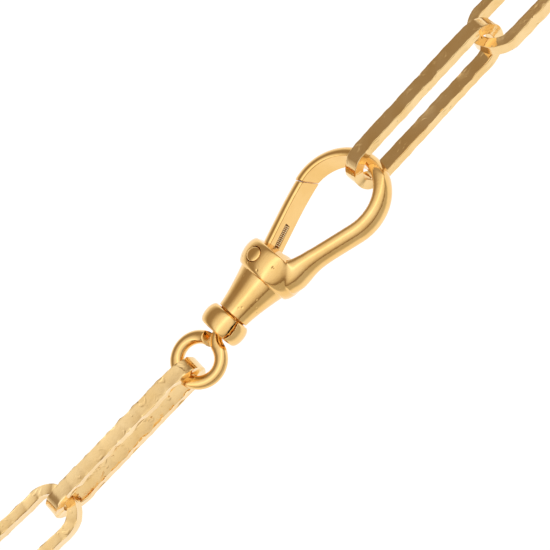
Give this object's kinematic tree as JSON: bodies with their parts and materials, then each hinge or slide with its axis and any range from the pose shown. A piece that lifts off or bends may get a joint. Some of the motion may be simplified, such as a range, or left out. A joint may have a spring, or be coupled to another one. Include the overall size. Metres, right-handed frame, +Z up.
{
  "type": "pocket watch chain",
  "caption": "Pocket watch chain of long hammered loop links with a swivel clip in the middle, a T-bar at one end and a round ring at the other, laid out in an S.",
  "frame": {"origin": "under the middle of the laid-out chain, on the plane it lies on", "axes": "+X along the swivel's axis from its bow towards its hook, +Y towards the hook's gate, +Z up"},
  "size_m": [0.2002, 0.1228, 0.0089],
  "materials": {
    "gold": "polished yellow gold plate on brass, lightly hammered on the links",
    "spring_steel": "drawn spring wire, faintly gilt"
  },
  "bodies": {
    "swivel": {"swivel_body": "gold", "neck_collar": "gold", "gate_pin": "gold"},
    "gate": {"gate": "gold", "gate_spring": "spring_steel"},
    "bow": {"swivel_bow": "gold", "bow_washer": "spring_steel"},
    "hook_link_1": {"hook_link_1": "gold"},
    "hook_link_2": {"hook_link_2": "gold"},
    "hook_link_3": {"hook_link_3": "gold"},
    "hook_link_4": {"hook_link_4": "gold"},
    "hook_link_5": {"hook_link_5": "gold"},
    "watch_ring": {"watch_ring": "gold"},
    "bow_link_1": {"bow_link_1": "gold"},
    "bow_link_2": {"bow_link_2": "gold"},
    "bow_link_3": {"bow_link_3": "gold"},
    "bow_link_4": {"bow_link_4": "gold"},
    "bow_link_5": {"bow_link_5": "gold"},
    "t_bar_ring": {"t_bar_ring": "gold"},
    "t_bar": {"t_bar_eye": "gold", "t_bar_rod": "gold", "t_bar_knob_1": "gold", "t_bar_knob_2": "gold"}
  },
  "joints": [
    {"name": "gate_hinge", "type": "hinge", "parent": "swivel", "child": "gate", "pos_m": [0.00498, 0.00224, 0.00443], "axis": [0, 0, -1], "range_deg": [0, 35], "stiffness_Nm_per_rad": 0.004, "springref_deg": -28.65},
    {"name": "bow_swivel", "type": "hinge", "parent": "swivel", "child": "bow", "pos_m": [-0.00552, 0.00164, 0.00443], "axis": [1, 0, 0], "continuous": true},
    {"name": "hook_link_1_hinge", "type": "hinge", "parent": "swivel", "child": "hook_link_1", "pos_m": [0.02325, 0.00084, 0.00443], "axis": [-0.0227, -0.9997, 0], "range_deg": [-45, 45]},
    {"name": "hook_link_2_hinge", "type": "hinge", "parent": "hook_link_1", "child": "hook_link_2", "pos_m": [0.04564, 0.00033, 0.0038], "axis": [-0.0032, -0.0522, 0.9986], "range_deg": [-60, 60]},
    {"name": "hook_link_3_hinge", "type": "hinge", "parent": "hook_link_2", "child": "hook_link_3", "pos_m": [0.06823, 0.00047, 0.00388], "axis": [-0.4384, 0.8988, 0], "range_deg": [-60, 60]},
    {"name": "hook_link_4_hinge", "type": "hinge", "parent": "hook_link_3", "child": "hook_link_4", "pos_m": [0.08886, 0.01053, 0.0038], "axis": [0, 0, -1], "range_deg": [-60, 60]},
    {"name": "hook_link_5_hinge", "type": "hinge", "parent": "hook_link_4", "child": "hook_link_5", "pos_m": [0.09589, 0.03201, 0.0038], "axis": [0.9903, 0.1392, 0], "range_deg": [-60, 60]},
    {"name": "watch_ring_hinge", "type": "hinge", "parent": "hook_link_5", "child": "watch_ring", "pos_m": [0.09272, 0.05455, 0.00276], "axis": [-0.0418, 0.2974, 0.9538], "range_deg": [-60, 60]},
    {"name": "bow_link_1_hinge", "type": "hinge", "parent": "bow", "child": "bow_link_1", "pos_m": [-0.01238, 0.00116, 0.00428], "axis": [0.0709, 0.9537, 0.2923], "range_deg": [-45, 45]},
    {"name": "bow_link_2_hinge", "type": "hinge", "parent": "bow_link_1", "child": "bow_link_2", "pos_m": [-0.0354, 0.00297, 0.00396], "axis": [-0.0103, -0.2929, 0.9561], "range_deg": [-60, 60]},
    {"name": "bow_link_3_hinge", "type": "hinge", "parent": "bow_link_2", "child": "bow_link_3", "pos_m": [-0.05798, 0.00388, 0.004], "axis": [0.4032, -0.9045, -0.1392], "range_deg": [-60, 60]},
    {"name": "bow_link_4_hinge", "type": "hinge", "parent": "bow_link_3", "child": "bow_link_4", "pos_m": [-0.07895, -0.00546, 0.00392], "axis": [0.0021, 0.0048, -1], "range_deg": [-60, 60]},
    {"name": "bow_link_5_hinge", "type": "hinge", "parent": "bow_link_4", "child": "bow_link_5", "pos_m": [-0.08672, -0.02667, 0.0038], "axis": [-0.9945, -0.1045, 0], "range_deg": [-60, 60]},
    {"name": "t_bar_ring_hinge", "type": "hinge", "parent": "bow_link_5", "child": "t_bar_ring", "pos_m": [-0.08432, -0.04949, 0.0038], "axis": [0, 0, 1], "range_deg": [-60, 60]},
    {"name": "t_bar_hinge", "type": "hinge", "parent": "t_bar_ring", "child": "t_bar", "pos_m": [-0.08384, -0.05407, 0.0038], "axis": [-0.9945, -0.1045, 0], "range_deg": [-60, 60]}
  ]
}
